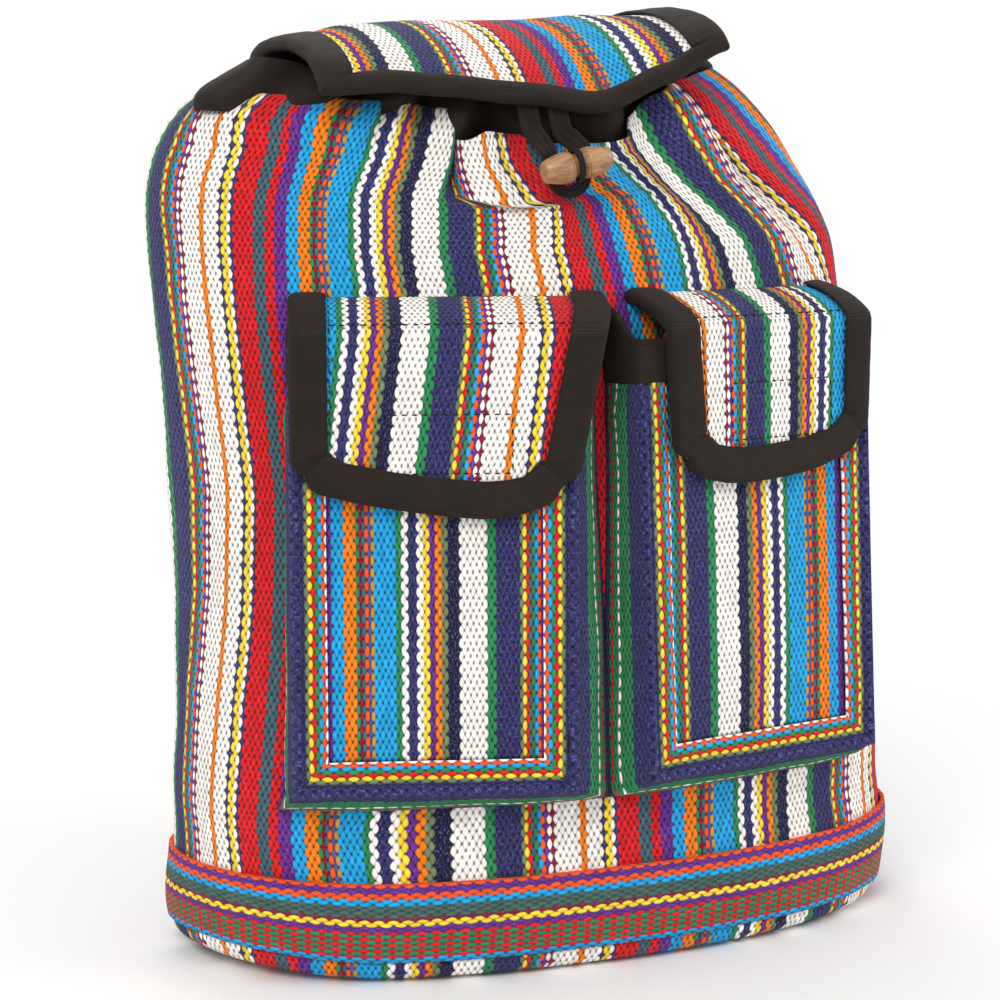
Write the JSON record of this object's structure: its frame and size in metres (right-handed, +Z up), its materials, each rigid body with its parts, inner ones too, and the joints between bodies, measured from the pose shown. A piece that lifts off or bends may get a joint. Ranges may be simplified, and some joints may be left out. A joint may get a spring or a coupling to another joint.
{
  "type": "mini backpack",
  "caption": "Small stuffed backpack of striped woven cotton with bound flaps, front pockets, a foot band, a wooden toggle and padded shoulder straps.",
  "frame": {"origin": "middle of the foot on the ground", "axes": "+Z up, -Y out of the front with the pockets, +X to the right of a viewer in front"},
  "size_m": [0.3178, 0.1855, 0.3734],
  "materials": {
    "striped_cotton": "heavy handwoven cotton with narrow warp stripes",
    "striped_cotton_band": "the same cotton turned so that its stripes run round the foot",
    "dark_cotton_tape": "black-brown ribbed cotton tape",
    "turned_wood": "turned pale wood, thin varnish",
    "black_plastic": "moulded black plastic"
  },
  "bodies": {
    "bag": {"back_panel": "striped_cotton", "base_band": "striped_cotton_band", "base_panel": "striped_cotton_band", "body_wrap": "striped_cotton", "flap_loop": "dark_cotton_tape", "haul_loop": "dark_cotton_tape", "left_anchor_tab": "striped_cotton", "left_buckle_tab": "dark_cotton_tape", "left_lower_webbing": "dark_cotton_tape", "left_pocket_flap": "striped_cotton", "left_pocket_flap_binding": "dark_cotton_tape", "left_pocket_front": "striped_cotton", "left_pocket_gusset": "striped_cotton", "left_pocket_hook_tape": "dark_cotton_tape", "left_pocket_loop_tape": "dark_cotton_tape", "left_pocket_mouth_tape": "dark_cotton_tape", "left_shoulder_strap": "striped_cotton", "left_strap_buckle": "black_plastic", "neck_channel": "dark_cotton_tape", "right_anchor_tab": "striped_cotton", "right_buckle_tab": "dark_cotton_tape", "right_lower_webbing": "dark_cotton_tape", "right_pocket_flap": "striped_cotton", "right_pocket_flap_binding": "dark_cotton_tape", "right_pocket_front": "striped_cotton", "right_pocket_gusset": "striped_cotton", "right_pocket_hook_tape": "dark_cotton_tape", "right_pocket_loop_tape": "dark_cotton_tape", "right_pocket_mouth_tape": "dark_cotton_tape", "right_shoulder_strap": "striped_cotton", "right_strap_buckle": "black_plastic", "top_flap": "striped_cotton", "top_flap_binding": "dark_cotton_tape"},
    "toggle": {"toggle": "turned_wood", "toggle_tie": "dark_cotton_tape"}
  },
  "joints": [
    {"name": "toggle_turn", "type": "hinge", "parent": "bag", "child": "toggle", "pos_m": [-0.0096, -0.0576, 0.314], "axis": [0, -1, 0], "range_deg": [-80, 80]}
  ]
}
